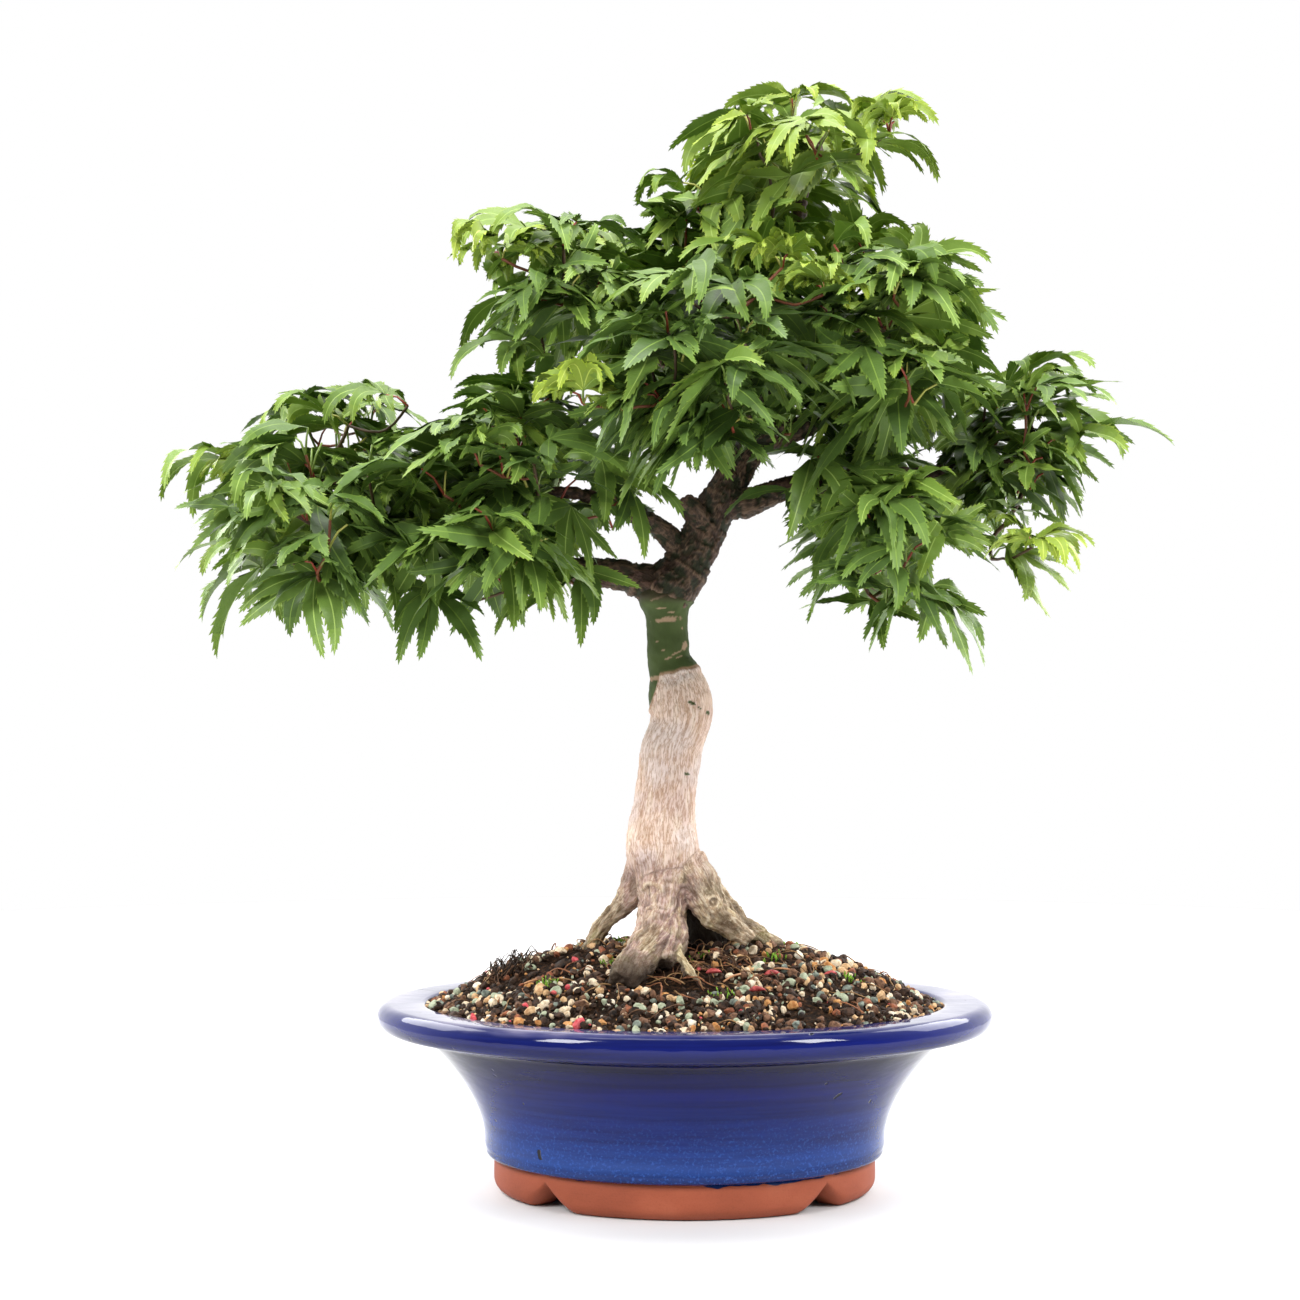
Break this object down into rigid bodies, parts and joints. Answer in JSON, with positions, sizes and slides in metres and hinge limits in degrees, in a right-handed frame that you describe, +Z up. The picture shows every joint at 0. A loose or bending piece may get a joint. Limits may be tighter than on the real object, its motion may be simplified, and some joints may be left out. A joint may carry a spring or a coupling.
{
  "type": "bonsai japanese maple in a pot",
  "caption": "Bonsai Japanese maple with arching lobed leaves on a leaning trunk over exposed roots, growing from a soil mound in an oval glazed pot on a notched foot.",
  "frame": {"origin": "on the surface the pot stands on, under the middle of the whole plant's bounding box", "axes": "+Z up, -Y the front, +X to the viewer's right, along the pot's long axis"},
  "size_m": [0.4301, 0.2891, 0.4834],
  "materials": {
    "glaze": "gloss cobalt blue glaze, darker where it is thin on the edges and lighter low on the wall",
    "terracotta": "bare matt brick-red fired clay",
    "soil": "dark humus mixed with beige, tan, brown and grey-green grit",
    "pale_bark": "pale beige-grey bark with fine upright fissures",
    "dark_bark": "dark green and brown young bark with corky rings",
    "foliage": "deep glossy green leaves with lighter edges and yellow-green young tips"
  },
  "bodies": {
    "root": {"bough_left": "dark_bark", "bough_left_inner": "dark_bark", "bough_left_upper": "dark_bark", "bough_right": "dark_bark", "bough_right_upper": "dark_bark", "foot_back": "terracotta", "foot_front": "terracotta", "foot_left": "terracotta", "foot_right": "terracotta", "leader": "dark_bark", "leaves_apex_back": "foliage", "leaves_apex_front": "foliage", "leaves_apex_left": "foliage", "leaves_centre_back": "foliage", "leaves_centre_front": "foliage", "leaves_core": "foliage", "leaves_inner_left_back": "foliage", "leaves_inner_left_front": "foliage", "leaves_left_back": "foliage", "leaves_left_front": "foliage", "leaves_left_tip": "foliage", "leaves_low_right_back": "foliage", "leaves_low_right_front": "foliage", "leaves_near_fork": "foliage", "leaves_over_right_bough": "foliage", "leaves_right_drop": "foliage", "leaves_right_tip": "foliage", "leaves_upper_left_back": "foliage", "leaves_upper_left_front": "foliage", "leaves_upper_right_back": "foliage", "leaves_upper_right_front": "foliage", "pot_bowl": "glaze", "root_back": "pale_bark", "root_front": "pale_bark", "root_front_small": "pale_bark", "root_left": "pale_bark", "root_right": "pale_bark", "soil": "soil", "trunk": "pale_bark"}
  },
  "joints": []
}
